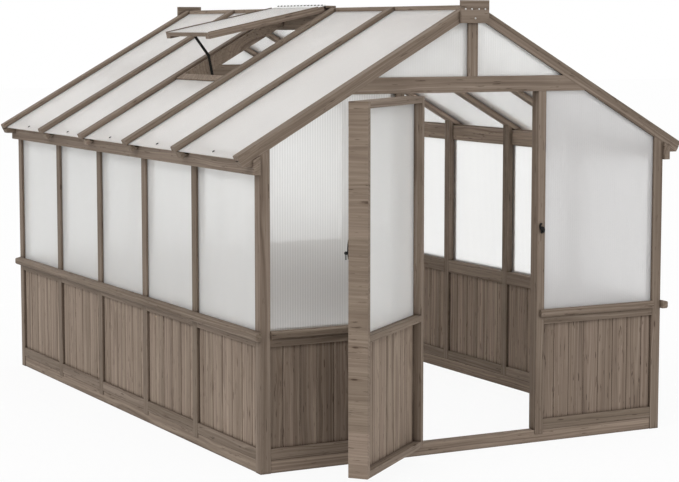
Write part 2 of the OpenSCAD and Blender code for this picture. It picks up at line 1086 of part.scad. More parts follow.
module door_boards() {
    color(board_col)
        open_door()
            translate([door_s0 + door_t, door_panel - board_t, door_z0 + door_t])
                board_row(door_s1 - door_s0 - 2 * door_t, door_mid - door_z0 - door_t);
}

module door_pane() {
    color(sheet_col)
        open_door()
            door_block(door_s0 + door_t, door_s1 - door_t, door_panel - pane_t, door_panel,
                door_mid + door_t, door_z1 - door_t);
}

// Every second knuckle of each door hinge
module door_knuckles(first) {
    l = hinge_h / hinge_n;
    for (z = hinge_at, i = [first:2:hinge_n - 1])
        translate([0, 0, z + i * l + gap / 2])
            linear_extrude(l - gap)
                children();
}

module door_hinge_bores() {
    for (z = hinge_at)
        translate([0, 0, z - 1])
            cylinder(r = hinge_pin_r + run, h = hinge_h + 2);
}

module door_hinge_fixed() {
    color(black)
        translate([door_axis[0], door_axis[1], 0])
            difference() {
                union() {
                    for (z = hinge_at)
                        translate([-hinge_w, door_t0 - hinge_t, z])
                            cube([hinge_w - knuckle_r - 0.5, hinge_t, hinge_h]);
                    door_knuckles(0) {
                        circle(knuckle_r);
                        translate([-knuckle_r - 1, door_t0 - hinge_t])
                            square([knuckle_r + 1, hinge_t]);
                    }
                }
                door_hinge_bores();
            }
}

module door_hinge_leaves() {
    color(black)
        open_door()
            difference() {
                union() {
                    for (z = hinge_at)
                        translate([knuckle_r + 0.5, door_t0 - hinge_t, z])
                            cube([hinge_w - knuckle_r - 0.5, hinge_t, hinge_h]);
                    door_knuckles(1) {
                        circle(knuckle_r);
                        translate([0, door_t0 - hinge_t])
                            square([knuckle_r + 1, hinge_t]);
                    }
                }
                door_hinge_bores();
            }
}

// Hinge pins with a button at each end
module door_hinge_pins() {
    color(steel)
        translate([door_axis[0], door_axis[1], 0])
            for (z = hinge_at)
                translate([0, 0, z]) {
                    cylinder(r = hinge_pin_r, h = hinge_h);
                    translate([0, 0, hinge_h])
                        cylinder(r = knuckle_r - 0.5, h = 2);
                    translate([0, 0, -2])
                        cylinder(r = knuckle_r - 0.5, h = 2);
                }
}

// Handle

plate_w = 26;
plate_h = 108;
plate_up = 19;
plate_rise = 7;
spindle_r = 4;
knob_r = 8;
knob_out = 10;
knob_l = 17;
lever_l = 31;
lever_r = 2.6;

// Children stand on the outer face of the door at the spindle, with their Z outwards
module on_door() {
    open_door()
        translate([stile_mid, door_t0, handle_z])
            rotate([90, 0, 0])
                children();
}

// Arched plate: an oval outline cut from a wide drum
module handle_plate() {
    r = (pow(plate_h / 2, 2) + pow(plate_rise, 2)) / (2 * plate_rise);
    color(black)
        on_door()
            difference() {
                intersection() {
                    union() {
                        for (s = [-1, 1])
                            translate([0, plate_up + s * (plate_h - plate_w) / 2, 0])
                                cylinder(r = plate_w / 2, h = plate_rise + 1);
                        translate([-plate_w / 2, plate_up - (plate_h - plate_w) / 2, 0])
                            cube([plate_w, plate_h - plate_w, plate_rise + 1]);
                    }
                    translate([-plate_w, plate_up, plate_rise - r])
                        rotate([0, 90, 0])
                            cylinder(r = r, h = 2 * plate_w, $fn = 180);
                }
                translate([0, 0, -1])
                    cylinder(r = spindle_r + run, h = plate_rise + 3);
            }
}

// Knob on a spindle, with a drop lever that hangs from it
module handle_lever() {
    color(black)
        on_door() {
            rotate_extrude()
                polygon([[0, gap], [spindle_r, gap], [spindle_r, knob_out],
                    [knob_r - 2, knob_out], [knob_r, knob_out + 4],
                    [knob_r, knob_out + knob_l - 6], [knob_r - 3, knob_out + knob_l - 1.5],
                    [0, knob_out + knob_l]]);
            translate([0, 0, knob_out + knob_l / 2])
                rotate([90, 0, 0])
                    cylinder(r = lever_r, h = lever_l - lever_r);
            translate([0, lever_r - lever_l, knob_out + knob_l / 2])
                sphere(r = lever_r + 0.8, $fn = 24);
        }
}

// Latch

latch_x = door_half + 17;
latch_z = handle_z + 2;
latch_w = 32;
latch_h = 62;
latch_base = 2.5;
latch_r = 20;
latch_t = 9;
latch_pin_r = 2.5;
hook_r = 11;
hook_w = 5;
trigger_t = 4;

// Children stand on the front face of the right door post, with their Z outwards
module on_post() {
    translate([latch_x, -hp, latch_z])
        rotate([90, 0, 0])
            children();
}

// Plate with a half-round housing, a fixed hook above it and a pivot pin
module latch_body() {
    color(black)
        on_post() {
            translate([-6, -latch_h / 2, 0])
                cube([latch_w, latch_h, latch_base]);
            intersection() {
                cylinder(r = latch_r, h = latch_t);
                translate([0, -latch_r, 0])
                    cube([latch_r, 2 * latch_r, latch_t]);
            }
            translate([hook_r - hook_w, latch_r - hook_w, 0])
                intersection() {
                    difference() {
                        cylinder(r = hook_r, h = latch_t);
                        translate([0, 0, -1])
                            cylinder(r = hook_r - hook_w, h = latch_t + 2);
                    }
                    translate([-hook_r, 0, 0])
                        cube([hook_r + 3, hook_r, latch_t]);
                }
            cylinder(r = latch_pin_r, h = latch_t + trigger_t + gap);
            translate([0, 0, latch_t + trigger_t + gap * 2])
                cylinder(r = latch_pin_r + 2, h = 1.5);
            translate([0, 0, latch_t + trigger_t + gap])
                cylinder(r = latch_pin_r, h = gap);
        }
}

// Trigger that swings on the pin, with a curled finger below
module latch_trigger() {
    arm = latch_r - 2;
    color(black)
        on_post()
            translate([0, 0, latch_t + gap])
                linear_extrude(trigger_t)
                    difference() {
                        union() {
                            circle(latch_pin_r + 3.5);
                            translate([-3, -arm])
                                square([6, arm]);
                            translate([3, -arm])
                                intersection() {
                                    difference() {
                                        circle(6);
                                        circle(2);
                                    }
                                    translate([-6, -6])
                                        square([12, 6]);
                                }
                        }
                        circle(latch_pin_r + run);
                    }
}

base_beams_end();
base_beams_side();
corner_posts();
side_posts_left();
side_posts_right();
door_posts();
back_posts();
top_plates();
eave_boards();
collar_beams();
king_posts();
ridge_beam();
gable_rafters();
rafters_left();
rafters_right();
roof_caps_left();
roof_caps_right();
lower_rails_side();
lower_rails_end();
upper_rails_side();
upper_rails_end();
sills_side();
sills_front();
sill_back();
boards_left();
boards_right();
boards_front();
boards_back();
panes_left();
panes_right();
panes_front();
panes_back();
gable_panes();
roof_panes_left();
roof_panes_right();
peak_plates();
peak_screws();
pane_bolts();
vent_curb();
vent_hinge_fixed();
vent_hinge_pin();
stay_foot();
latch_body();
door_hinge_fixed();
door_hinge_pins();
door_stiles();
door_rails();
door_boards();
door_pane();
door_hinge_leaves();
handle_plate();
handle_lever();
vent_side_rails();
vent_end_rails();
vent_pane();
vent_hinge_leaf();
stay_bracket();
stay_lower_link();
stay_upper_link();
latch_trigger();
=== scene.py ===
"""A wooden greenhouse: weathered timber, fluted translucent sheets and black hardware."""
import json
import math
import random

import bmesh
import bpy
from mathutils import Matrix, Vector


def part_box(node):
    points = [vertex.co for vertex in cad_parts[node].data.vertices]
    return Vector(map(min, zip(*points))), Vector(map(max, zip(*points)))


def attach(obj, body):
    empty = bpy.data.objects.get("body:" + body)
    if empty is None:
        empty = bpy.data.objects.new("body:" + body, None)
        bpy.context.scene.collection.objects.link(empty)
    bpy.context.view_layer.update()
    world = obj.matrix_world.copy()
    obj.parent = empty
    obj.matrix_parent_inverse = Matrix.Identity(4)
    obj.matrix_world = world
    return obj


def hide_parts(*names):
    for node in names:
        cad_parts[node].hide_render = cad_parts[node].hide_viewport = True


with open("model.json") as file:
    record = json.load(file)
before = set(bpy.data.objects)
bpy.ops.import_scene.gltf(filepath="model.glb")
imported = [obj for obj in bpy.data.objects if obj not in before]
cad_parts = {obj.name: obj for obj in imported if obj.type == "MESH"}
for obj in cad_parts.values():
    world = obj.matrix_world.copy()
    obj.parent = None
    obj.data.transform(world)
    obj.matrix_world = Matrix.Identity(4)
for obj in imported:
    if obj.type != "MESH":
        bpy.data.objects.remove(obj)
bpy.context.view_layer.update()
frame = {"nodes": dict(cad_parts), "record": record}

BODY_OF = {n: b for b, ns in frame["record"]["behaviour"]["bodies"].items() for n in ns}

# Angles as the model is stored
PITCH = math.radians(29.5)
DOOR_OPEN = math.radians(140)
LEAF_FALL = math.radians(29.5 - 17.7)


# ---------------------------------------------------------------- camera

YAW, FALL = math.radians(28.035), math.radians(6.219)
EYE = Vector((-5.2396, -8.4309, 2.1623))
LENS_PX, FRAME_PX, SENSOR = 1948.7, 679, 36.0

camera = bpy.data.objects.new("camera", bpy.data.cameras.new("camera"))
bpy.context.scene.collection.objects.link(camera)
camera.location = EYE
camera.rotation_euler = (math.pi / 2 - FALL, 0, -YAW)
camera.data.sensor_width = SENSOR
camera.data.lens = LENS_PX / FRAME_PX * SENSOR
camera.data.clip_end = 200
bpy.context.scene.camera = camera


# ---------------------------------------------------------------- directions

UP = Vector((0, 0, 1))
AHEAD = Vector((0, 1, 0))
ACROSS = Vector((1, 0, 0))
SLOPE_R = Vector((math.cos(PITCH), 0, -math.sin(PITCH)))
SLOPE_L = Vector((-math.cos(PITCH), 0, -math.sin(PITCH)))
NORMAL_L = Vector((-math.sin(PITCH), 0, math.cos(PITCH)))
NORMAL_R = Vector((math.sin(PITCH), 0, math.cos(PITCH)))
LEAF = Vector((-math.cos(LEAF_FALL), 0, -math.sin(LEAF_FALL)))
NORMAL_V = Vector((-math.sin(LEAF_FALL), 0, math.cos(LEAF_FALL)))
DOOR_S = Vector((math.cos(DOOR_OPEN), -math.sin(DOOR_OPEN), 0))
NORMAL_D = DOOR_S.cross(UP)
DIRECTIONS = [UP, AHEAD, ACROSS, SLOPE_R, SLOPE_L, LEAF, DOOR_S]


# ---------------------------------------------------------------- meshes

def extent(points, d):
    along = [p.dot(d) for p in points]
    return min(along), max(along)


def axes(along):
    """Two directions square to a piece's own."""
    side = UP if abs(along.dot(UP)) < 0.9 else ACROSS
    across = along.cross(side).normalized()
    return across, along.cross(across).normalized()


def islands(bm):
    """Groups of vertices that hang together."""
    seen, groups = set(), []
    for start in bm.verts:
        if start in seen:
            continue
        seen.add(start)
        group, todo = [], [start]
        while todo:
            v = todo.pop()
            group.append(v)
            for e in v.link_edges:
                o = e.other_vert(v)
                if o not in seen:
                    seen.add(o)
                    todo.append(o)
        groups.append(group)
    return groups


def solid(node):
    """The node's own mesh, welded, with its flat faces whole."""
    bm = bmesh.new()
    bm.from_mesh(frame["nodes"][node].data)
    bmesh.ops.remove_doubles(bm, verts=bm.verts, dist=5e-6)
    bmesh.ops.dissolve_limit(bm, angle_limit=math.radians(0.4), verts=bm.verts, edges=bm.edges)
    return bm


def place(name, bm, node, material):
    """Makes a piece that stands for a node and rides on its body."""
    me = bpy.data.meshes.new(name)
    bm.to_mesh(me)
    bm.free()
    ob = bpy.data.objects.new(name, me)
    bpy.context.scene.collection.objects.link(ob)
    me.materials.append(material)
    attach(ob, BODY_OF[node])
    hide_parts(node)
    return ob


def pour(part, bm):
    """Empties one mesh into another."""
    me = bpy.data.meshes.new("part")
    part.to_mesh(me)
    part.free()
    bm.from_mesh(me)
    bpy.data.meshes.remove(me)


def round_edges(bm, width, angle=40):
    sharp = [e for e in bm.edges if len(e.link_faces) == 2
             and e.calc_face_angle(0) > math.radians(angle)]
    bmesh.ops.bevel(bm, geom=sharp, offset=width, segments=2, profile=0.6,
                    affect="EDGES", clamp_overlap=True)


def sliced(bm, point, normal, clear=True):
    """Cuts along a plane, takes off what lies beyond it or not, and gives the cut's edges."""
    made = bmesh.ops.bisect_plane(bm, geom=bm.verts[:] + bm.edges[:] + bm.faces[:],
                                  plane_co=point, plane_no=normal, clear_outer=clear)
    return [g for g in made["geom_cut"] if isinstance(g, bmesh.types.BMEdge)]


def prism(bm, section, ends):
    """Adds a bar: its section is a list of points, its ends are two offsets from them."""
    rings = [[bm.verts.new(p + end) for p in section] for end in ends]
    faces = [bm.faces.new(ring) for ring in rings]
    for i in range(len(section)):
        faces.append(bm.faces.new((rings[0][i - 1], rings[0][i], rings[1][i], rings[1][i - 1])))
    bmesh.ops.recalc_face_normals(bm, faces=faces)
    return rings[0] + rings[1]


# ---------------------------------------------------------------- materials

def rgb(r, g, b):
    """A colour written as it shows, from 0 to 255."""
    def lin(v):
        v /= 255
        return v / 12.92 if v <= 0.04045 else ((v + 0.055) / 1.055) ** 2.4
    return lin(r), lin(g), lin(b), 1.0


class Tree:
    """A small hand for wiring the shader nodes of a material or world."""

    def __init__(self, owner):
        owner.use_nodes = True
        self.owner = owner
        self.nodes = owner.node_tree.nodes
        self.links = owner.node_tree.links
        self.bsdf = self.nodes.get("Principled BSDF")

    def put(self, socket, value):
        if isinstance(value, bpy.types.NodeSocket):
            self.links.new(value, socket)
        else:
            socket.default_value = value

    def shade(self, name, value):
        self.put(self.bsdf.inputs[name], value)

    def new(self, kind, out, props=None, **inputs):
        """A node's output. Inputs go by name, or by place as _0, _1 and so on."""
        n = self.nodes.new(kind)
        for key, value in (props or {}).items():
            setattr(n, key, value)
        for key, value in inputs.items():
            self.put(n.inputs[int(key[1:])] if key[0] == "_" and key[1:].isdigit()
                     else n.inputs[key.replace("_", " ")], value)
        return n.outputs[out]

    def attribute(self, name, out="Vector"):
        return self.new("ShaderNodeAttribute", out, {"attribute_name": name})

    def scaled(self, vector, scale):
        return self.new("ShaderNodeMapping", 0, Vector=vector, Scale=scale)

    def noise(self, vector, scale, detail=4.0, rough=0.55):
        return self.new("ShaderNodeTexNoise", 0, Vector=self.scaled(vector, scale), Scale=1.0,
                        Detail=detail, Roughness=rough)

    def math(self, op, a, b):
        return self.new("ShaderNodeMath", 0, {"operation": op}, _0=a, _1=b)

    def ramp(self, factor, stops):
        n = self.nodes.new("ShaderNodeValToRGB")
        el = n.color_ramp.elements
        while len(el) < len(stops):
            el.new(0.5)
        for e, (at, colour) in zip(el, stops):
            e.position = at
            e.color = colour if len(colour) == 4 else (*colour, 1)
        self.put(n.inputs[0], factor)
        return n.outputs[0]

    def grey(self, factor, lo, hi, v0=0.0, v1=1.0):
        """Runs from v0 to v1 as the factor goes from lo to hi."""
        return self.new("ShaderNodeMapRange", 0, {"clamp": True}, _0=factor, _1=lo, _2=hi,
                        _3=v0, _4=v1)

    def mix(self, kind, factor, a, b):
        n = self.nodes.new("ShaderNodeMix")
        n.data_type = "RGBA"
        n.blend_type = kind
        self.put(n.inputs[0], factor)
        self.put(n.inputs[6], a)
        self.put(n.inputs[7], b)
        return n.outputs[2]

    def bump(self, height, strength, distance):
        return self.new("ShaderNodeBump", 0, Height=height, Strength=strength, Distance=distance)

    def seen(self):
        """1 for what the camera sees straight, in a gloss or through a sheet."""
        path = self.nodes.new("ShaderNodeLightPath")
        return self.math("MAXIMUM", path.outputs["Is Camera Ray"],
                         self.math("MAXIMUM", path.outputs["Is Glossy Ray"],
                                   path.outputs["Is Transmission Ray"]))


def new_material(name):
    return Tree(bpy.data.materials.new(name))


WHITE = (1, 1, 1)


def wood(name, dark, mid, light, figure, fleck=0.7):
    """Weathered softwood: growth rings about a pith, fine fibre, cracks and knots.

    The attributes grain and pith run along the piece first, in metres."""
    t = new_material(name)
    g = t.attribute("grain")
    p = t.nodes.new("ShaderNodeSeparateXYZ")
    t.put(p.inputs[0], t.attribute("pith"))
    tone = t.attribute("tone", "Fac")

    # The grain bends a little, and more beside a knot
    bend = t.noise(g, (1.3, 8, 8), 2.0)
    shift = t.new("ShaderNodeCombineXYZ", 0, X=0.0, Y=t.math("MULTIPLY", bend, 0.02),
                  Z=t.math("MULTIPLY", bend, 0.014))
    bent = t.new("ShaderNodeVectorMath", 0, {"operation": "ADD"}, _0=g, _1=shift)
    knot = t.new("ShaderNodeTexVoronoi", 0, {"feature": "F1"},
                 Vector=t.scaled(bent, (2.3, 8.5, 8.5)), Scale=1.0)
    flow = t.grey(knot, 0.02, 0.34, 0.010, 0.0)

    # Growth rings by the distance from the pith
    r = t.new("ShaderNodeVectorMath", 1, {"operation": "LENGTH"},
              _0=t.new("ShaderNodeCombineXYZ", 0, X=0.0, Y=p.outputs[1], Z=p.outputs[2]))
    wave = t.noise(g, (0.8, 5, 5), 3.0)
    r = t.math("ADD", t.math("ADD", r, t.math("MULTIPLY", wave, 0.05)), flow)
    rings = t.noise(t.new("ShaderNodeCombineXYZ", 0, X=r, Y=p.outputs[0], Z=0.0),
                    (120, 0.45, 1), 3.0, 0.55)
    streak = t.noise(bent, (1.3, 90, 90), 3.0, 0.6)
    fibre = t.noise(bent, (6, 420, 420), 3.0, 0.65)
    patch = t.noise(g, (2.1, 6, 6), 3.0, 0.5)
    crack = t.noise(bent, (11, 110, 110), 2.0, 0.5)

    body = t.ramp(rings, [(0.3, dark), (0.5, mid), (0.72, light)])
    for amount, factor, stops in (
            (0.6 * figure, streak, [(0.34, (0.68, 0.65, 0.62)), (0.56, WHITE)]),
            (0.5, fibre, [(0.34, (0.72, 0.7, 0.68)), (0.56, WHITE)]),
            (0.6, patch, [(0.34, (0.82, 0.79, 0.77)), (0.5, (0.98, 0.97, 0.96)),
                          (0.66, (1.0, 0.975, 0.975))]),
            (fleck, crack, [(0.655, WHITE), (0.69, (0.3, 0.24, 0.2))])):
        body = t.mix("MULTIPLY", amount, body, t.ramp(factor, stops))
    ring = t.grey(knot, 0.045, 0.12, 1.0, 0.0)
    heart = t.grey(knot, 0.025, 0.05, 1.0, 0.0)
    body = t.mix("MULTIPLY", t.math("MULTIPLY", ring, 0.4), body, (0.55, 0.46, 0.39, 1))
    body = t.mix("MULTIPLY", t.math("MULTIPLY", heart, 0.8), body, (0.3, 0.23, 0.19, 1))

    # Each piece has its own tone, and on the side boards the tone also carries a painted
    # highlight and shade. Seams, grooves and corners, where other wood lies close, are darkened
    # with a painted shade
    shade = t.grey(tone, -0.4, 1.4, 0.8, 1.16)
    warm = t.grey(tone, -0.4, 1.4, 0.77, 1.18)
    body = t.mix("MULTIPLY", 1.0, body,
                 t.new("ShaderNodeCombineColor", 0, Red=shade, Green=shade, Blue=warm))
    # painted shade where other wood lies within 18 mm
    painted_crease_shade = t.new("ShaderNodeAmbientOcclusion", 1, {"samples": 4}, Distance=0.018)
    body = t.mix("MULTIPLY", t.grey(painted_crease_shade, 0.35, 0.85, 1.0, 0.0), body, (0.28, 0.22, 0.18, 1))
    t.shade("Base Color", body)
    t.shade("Roughness", t.grey(streak, 0.3, 0.7, 0.86, 0.7))
    t.shade("Specular IOR Level", 0.3)
    height = t.math("ADD", t.math("MULTIPLY", streak, 0.7), t.math("MULTIPLY", fibre, 0.4))
    height = t.math("SUBTRACT", height, t.math("MULTIPLY", ring, 0.2))
    t.shade("Normal", t.bump(height, 0.4, 0.0012))
    return t.owner


FLUTE = 0.0137      # from web to web of a sheet


def sheet(name, colour, skin, webs, through, tint=0.3):
    """Twin-wall sheet. skin and webs are their alphas, through is the light that passes."""
    t = new_material(name)
    g = t.attribute("grain")
    across = t.new("ShaderNodeSeparateXYZ", 1, Vector=g)
    saw = t.math("PINGPONG", across, FLUTE / 2)
    line = t.grey(saw, FLUTE * 0.06, FLUTE * 0.22, 1.0, 0.0)
    haze = t.noise(g, (1.5, 3, 3), 3.0)
    base = t.mix("MIX", t.math("MULTIPLY", line, tint), colour, rgb(205, 205, 204))
    base = t.mix("MULTIPLY", 0.12, base, t.ramp(haze, [(0.35, (0.8, 0.8, 0.8)), (0.6, WHITE)]))
    t.shade("Base Color", base)
    t.shade("Roughness", 1.0)
    t.shade("IOR", 1.1)
    t.shade("Transmission Weight", through)
    t.shade("Alpha", t.grey(line, 0.0, 1.0, skin, webs))
    t.shade("Normal", t.bump(line, 0.3, 0.0006))
    return t.owner


def metal(name, colour, metallic, rough, speck, shine=0.5):
    """Coated or bare metal with a fine uneven finish."""
    t = new_material(name)
    g = t.attribute("grain")
    fine = t.noise(g, (900, 900, 900), 3.0)
    worn = t.noise(g, (60, 60, 60), 4.0)
    mottle = t.ramp(worn, [(0.35, (0.6, 0.6, 0.6)), (0.65, WHITE)])
    t.shade("Base Color", t.mix("MULTIPLY", 0.5, colour, mottle))
    t.shade("Metallic", metallic)
    t.shade("Specular IOR Level", shine)
    t.shade("Roughness", t.grey(worn, 0.3, 0.7, rough, rough + 0.18))
    t.shade("Normal", t.bump(fine, speck, 0.0003))
    return t.owner


TIMBER = wood("timber", rgb(104, 90, 78), rgb(126, 112, 99), rgb(145, 131, 118), 0.7)
EDGE = wood("edge", rgb(119, 104, 91), rgb(134, 119, 105), rgb(147, 132, 118), 0.6)
BEAMS = wood("beams", rgb(114, 99, 87), rgb(141, 126, 112), rgb(159, 144, 129), 0.9)
BOARDS = wood("boards", rgb(115, 100, 88), rgb(144, 128, 114), rgb(164, 149, 134), 0.8, 0.8)
# A darker copy of the boards for the front and back: painted shade.
BOARDS_PAINTED_SHADE = wood("boards_painted_shade", rgb(105, 91, 80), rgb(131, 116, 103), rgb(150, 135, 121),
              0.8, 0.8)
# One twin-wall sheet in copies. The front copy is darker: painted shade. clear_sheet and
# roof_sheet_clear, on the shaded right side and back, let more light through, so that from inside
# they show bright: painted light.
MILKY = sheet("wall_sheet", rgb(254, 254, 253), 0.8, 0.9, 0.6)
FRONT_SHEET_PAINTED_SHADE = sheet("front_sheet_painted_shade", rgb(230, 229, 229), 0.86, 0.9, 0.45)
CLEAR = sheet("clear_sheet", rgb(254, 254, 253), 0.75, 0.9, 0.92)
RIBBED = sheet("ribbed_sheet", rgb(254, 254, 253), 0.6, 0.7, 0.86, 0.0)
ROOF = sheet("roof_sheet", rgb(253, 251, 249), 0.86, 0.95, 0.58)
ROOF_R = sheet("roof_sheet_clear", rgb(254, 253, 251), 0.64, 0.88, 0.95)
BLACK = metal("black_steel", rgb(20, 19, 18), 0.0, 0.5, 0.5, 0.2)
ZINC = metal("zinc", rgb(242, 242, 240), 0.2, 0.5, 0.3)
STEEL = metal("bright_steel", rgb(206, 203, 198), 0.8, 0.35, 0.3)


# ---------------------------------------------------------------- timber

FINE_EDGE, EASED_EDGE, WORN_EDGE = 0.001, 0.0016, 0.004


def grain_marks(bm, seed, spread=30.0, directions=DIRECTIONS):
    """Gives each island its own grain direction, offset, pith and tone."""
    grain = bm.verts.layers.float_vector.new("grain")
    pith = bm.verts.layers.float_vector.new("pith")
    tone = bm.verts.layers.float.new("tone")
    rnd = random.Random(seed)
    for group in islands(bm):
        points = [v.co for v in group]
        sizes = [(hi - lo, -i) for i, (lo, hi) in
                 enumerate(extent(points, d) for d in directions)]
        along = directions[-max(sizes)[1]]
        across, third = axes(along)
        shift = Vector([rnd.uniform(-spread, spread) for _ in range(3)])
        heart = Vector((shift.x, 0, 0))
        for i, d in ((1, across), (2, third)):
            lo, hi = extent(points, d)
            heart[i] = -(lo + hi) / 2 + rnd.choice((-1, 1)) * rnd.uniform(0.02, 0.09)
        value = rnd.random()
        for v in group:
            at = Vector((v.co.dot(along), v.co.dot(across), v.co.dot(third)))
            v[grain] = at + shift
            v[pith] = at + heart
            v[tone] = value


def wooden(bm, node, material, edge=EASED_EDGE, directions=DIRECTIONS):
    round_edges(bm, edge)
    grain_marks(bm, node, directions=directions)
    return place("wood_" + node, bm, node, material)


def board_rows(node, along, depth, first, pitch, out=0.0, painted_edge_light=0.0, material=BOARDS,
               chamfer=0.0055):
    """Rows of boards with chamfered edges, each row in the place of the node's own.

    first is the width of a row's first board, and pitch that of the others. out brings their
    outer face forward. A painted highlight and shade make one edge of each board lighter and the
    other darker, by as much as the argument after out."""
    src = solid(node)
    spans = sorted(extent([q.co for q in g], along) for g in islands(src))
    t0, t1 = extent([q.co for q in src.verts], depth)
    z0, z1 = extent([q.co for q in src.verts], UP)
    src.free()
    t0, t1 = t0 + min(out, 0), t1 + max(out, 0)
    rows = []
    for lo, hi in spans:
        if rows and lo < rows[-1][1] + 0.02:
            rows[-1][1] = max(hi, rows[-1][1])
        else:
            rows.append([lo, hi])
    bm = bmesh.new()
    painted_lifts = []
    for lo, hi in rows:
        cuts = [lo, lo + first]
        while cuts[-1] + pitch < hi - 0.03:
            cuts.append(cuts[-1] + pitch)
        cuts.append(hi)
        for a0, a1 in zip(cuts, cuts[1:]):
            v = chamfer
            section = [(a0 + v, t0), (a1 - v, t0), (a1, t0 + v), (a1, t1 - v), (a1 - v, t1),
                       (a0 + v, t1), (a0, t1 - v), (a0, t0 + v)]
            prism(bm, [along * a + depth * d for a, d in section], (UP * z0, UP * z1))
            # painted highlight on one half of each board's section, painted shade on the other
            painted_lifts += [painted_edge_light if a > (a0 + a1) / 2 else -painted_edge_light for a, _ in section] * 2
    grain_marks(bm, node)
    tone = bm.verts.layers.float["tone"]
    # The tone is evened out and takes the painted highlight and shade
    for q, painted_lift in zip(bm.verts, painted_lifts):
        q[tone] = 0.5 + (q[tone] - 0.5) * 0.6 + painted_lift
    return place("wood_" + node, bm, node, material)


# Measured from the origin along the roof's normal
RAFTER_LOW = 1.9446             # a rafter's lower face
COVER_TOP = 1.9780              # top of the cover on a gable's rafter
CAP_FACE = 1.99                 # only the caps' upper faces lie above it
FOOT_DEEP = (1.932, 1.9722)     # a rafter's foot
# Measured down the slope and across
FOOT_DOWN = (0.322, 0.368)
POST_ENDS = (1.141, 1.2015)     # what the corner posts' ends take up


def gable_rafters(node):
    """The rafters pass in front of the corner posts' ends, under a thin cover."""
    proud, deep = 0.0006, 0.018
    bm = solid(node)
    round_edges(bm, EASED_EDGE)
    grain_marks(bm, node)
    grain = bm.verts.layers.float_vector["grain"]
    pith = bm.verts.layers.float_vector["pith"]
    tone = bm.verts.layers.float["tone"]
    for group in islands(bm):
        side = math.copysign(1, sum(v.co.x for v in group))
        y0, y1 = extent([v.co for v in group], AHEAD)
        y = (y0 - proud, y0 + deep) if y0 < 1 else (y1 - deep, y1 + proud)
        section = [Vector((side * x, 0, (w - x * math.sin(PITCH)) / math.cos(PITCH)))
                   for x, w in ((POST_ENDS[0], RAFTER_LOW), (POST_ENDS[1], RAFTER_LOW),
                                (POST_ENDS[1], COVER_TOP), (POST_ENDS[0], COVER_TOP))]
        made = prism(bm, section, (AHEAD * y[0], AHEAD * y[1]))

        along = SLOPE_L if side < 0 else SLOPE_R
        across, third = axes(along)
        ref = group[0]
        at = Vector((ref.co.dot(along), ref.co.dot(across), ref.co.dot(third)))
        shift, heart, value = ref[grain] - at, ref[pith] - at, ref[tone]
        for v in made:
            at = Vector((v.co.dot(along), v.co.dot(across), v.co.dot(third)))
            v[grain], v[pith], v[tone] = at + shift, at + heart, value
    return place("wood_" + node, bm, node, TIMBER)


def rafters(node, down, normal):
    """Rafters with a deep foot that shows in front of the eave board."""
    bm = solid(node)
    (u0, u1), (w0, w1) = FOOT_DOWN, FOOT_DEEP
    for group in islands(bm):
        y0, y1 = extent([v.co for v in group], AHEAD)
        prism(bm, [down * u + normal * w for u, w in ((u0, w0), (u1, w0), (u1, w1), (u0, w1))],
              (AHEAD * y0, AHEAD * y1))
    return wooden(bm, node, BEAMS)


def roof_caps(node, normal):
    """Caps that grow thicker towards the eave, the ones at the gables less so."""
    bm = solid(node)
    for v in bm.verts:
        if v.co.dot(normal) > CAP_FACE:
            v.co.z += (0.009 if 0.1 < v.co.y < 3.4 else 0.005) * abs(v.co.x) / 1.3
    return wooden(bm, node, TIMBER)


def eave_boards(node):
    """Between the gables the boards stop under the panes, and the roof shows over them."""
    low, front, back = 0.0265, 0.03, 3.464
    bm = bmesh.new()
    for y0, y1, drop in ((-1, front, 0), (front, back, low), (back, 9, 0)):
        part = solid(node)
        top = extent([q.co for q in part.verts], UP)[1]
        planes = [((0, y0, 0), (0, -1, 0)), ((0, y1, 0), (0, 1, 0))]
        if drop:
            planes.append(((0, 0, top - drop), (0, 0, 1)))
        for point, normal in planes:
            bmesh.ops.holes_fill(part, edges=sliced(part, point, normal))
        pour(part, bm)
    bmesh.ops.remove_doubles(bm, verts=bm.verts, dist=1e-5)
    return wooden(bm, node, TIMBER)


def door_stiles(node):
    """The stile at the free edge is made up of short blocks with their grain across."""
    joints, tones = (0.285, 1.207), (1.2, 0.3, 0.5)     # from the bottom
    bm = solid(node)
    round_edges(bm, EASED_EDGE)
    far = [g for g in islands(bm) if max(-v.co.y for v in g) > 0.45][0]
    free = bmesh.new()
    copy = {v: free.verts.new(v.co) for v in far}
    for f in bm.faces:
        if f.verts[0] in copy:
            free.faces.new([copy[v] for v in f.verts])
    bmesh.ops.delete(bm, geom=far, context="VERTS")
    for z in joints:
        bmesh.ops.split_edges(free, edges=sliced(free, (0, 0, z), (0, 0, 1), clear=False))
    grain_marks(bm, node)
    grain_marks(free, "blocks", directions=[NORMAL_D])
    tone = free.verts.layers.float["tone"]
    blocks = sorted(islands(free), key=lambda group: min(v.co.z for v in group))
    for group, value in zip(blocks, tones):
        for v in group:
            v[tone] = value
    place("wood_" + node, bm, node, TIMBER)
    place("wood_door_blocks", free, node, EDGE)


